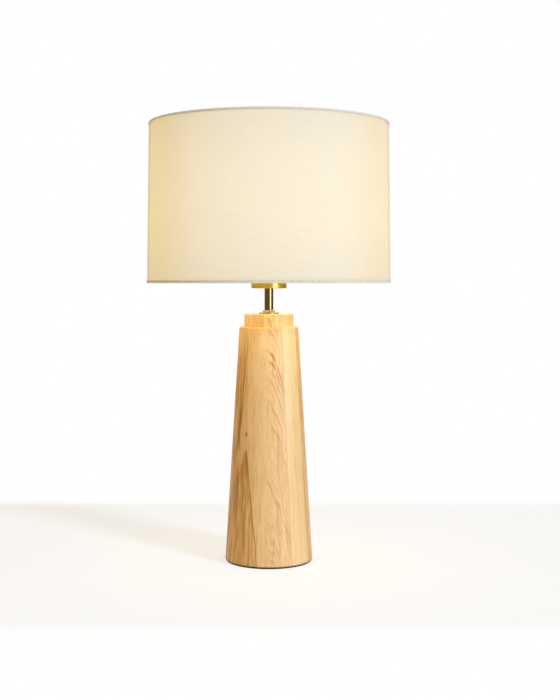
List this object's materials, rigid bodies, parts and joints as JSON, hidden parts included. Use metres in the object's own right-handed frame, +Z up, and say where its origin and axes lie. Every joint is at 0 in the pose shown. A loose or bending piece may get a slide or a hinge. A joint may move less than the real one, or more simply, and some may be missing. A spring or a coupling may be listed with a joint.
{
  "type": "column table lamp",
  "caption": "Table lamp with a tapered turned wooden column, a brass stem and lampholder cup, and a linen drum shade over a screw-in bulb.",
  "frame": {"origin": "centre of the felt pad's underside, on the surface the lamp stands on", "axes": "+Z up along the column's axis; +Y towards the back, where the cord leaves; +X to the right seen from the front"},
  "size_m": [0.3, 0.3, 0.536],
  "materials": {
    "ash_wood": "pale oiled ash, turned",
    "felt_black": "black wool felt",
    "bushing_plastic": "moulded brown nylon",
    "zinc_steel": "zinc-plated",
    "cast_weight": "rough cast and painted",
    "brass_antique": "antique brown brass",
    "brass_satin": "satin brass",
    "holder_plastic": "moulded phenolic",
    "holder_ceramic": "unglazed white porcelain",
    "contact_brass": "bright stamped brass",
    "shade_linen": "natural slub linen",
    "shade_hem": "rolled linen hem",
    "shade_liner_film": "white lampshade film",
    "white_enamel": "white enamelled wire",
    "bulb_opal": "opal diffuser",
    "bulb_white": "white moulded heat-sink plastic",
    "cap_nickel": "nickel-plated screw cap",
    "cap_glass_black": "black glassy insulator",
    "cap_contact": "soldered tip",
    "board_aluminium": "white solder mask on aluminium",
    "led_phosphor": "phosphor yellow",
    "board_green": "green laminate"
  },
  "bodies": {
    "lamp_base": {"felt_pad": "felt_black", "column": "ash_wood", "neck": "ash_wood", "cord_bushing": "bushing_plastic", "threaded_rod": "zinc_steel", "foot_weight": "cast_weight", "rod_washer": "zinc_steel", "rod_nut": "zinc_steel", "stem_seat": "brass_antique", "stem_tube": "brass_antique", "holder_cup": "brass_satin", "holder_casing": "holder_plastic", "grub_screw": "zinc_steel", "holder_core": "holder_ceramic", "terminals": "contact_brass", "terminal_screws": "zinc_steel", "contact_tongue": "contact_brass", "screw_shell": "contact_brass", "contact_rivets": "contact_brass", "holder_skirt": "brass_satin"},
    "shade": {"shade_fabric": "shade_linen", "shade_liner": "shade_liner_film", "top_wire": "white_enamel", "bottom_wire": "white_enamel", "fitter_ring": "white_enamel", "spider_arms": "white_enamel", "top_trim": "shade_hem", "bottom_trim": "shade_hem"},
    "clamp_ring": {"shade_ring": "brass_satin"},
    "bulb_lift": {"bulb_contact": "cap_contact"},
    "bulb": {"bulb_cap": "cap_nickel", "bulb_insulator": "cap_glass_black", "bulb_housing": "bulb_white", "bulb_globe": "bulb_opal", "led_board": "board_aluminium", "leds": "led_phosphor", "driver_board": "board_green"}
  },
  "joints": [
    {"name": "shade_swivel", "type": "hinge", "parent": "lamp_base", "child": "shade", "pos_m": [0, 0, 0.3696], "axis": [0, 0, 1], "continuous": true},
    {"name": "shade_ring_turn", "type": "hinge", "parent": "lamp_base", "child": "clamp_ring", "pos_m": [0, 0, 0.3751], "axis": [0, 0, 1], "range_deg": [0, 1080]},
    {"name": "bulb_rise", "type": "slide", "parent": "lamp_base", "child": "bulb_lift", "axis": [0, 0, 1], "range_m": [0, 0.0128]},
    {"name": "bulb_screw", "type": "hinge", "parent": "bulb_lift", "child": "bulb", "pos_m": [0, 0, 0.3774], "axis": [0, 0, 1], "range_deg": [0, 1260]}
  ],
  "couplings": [
    {"joint": "bulb_rise", "follows": "bulb_screw", "m_per_rad": 0.00057757}
  ]
}
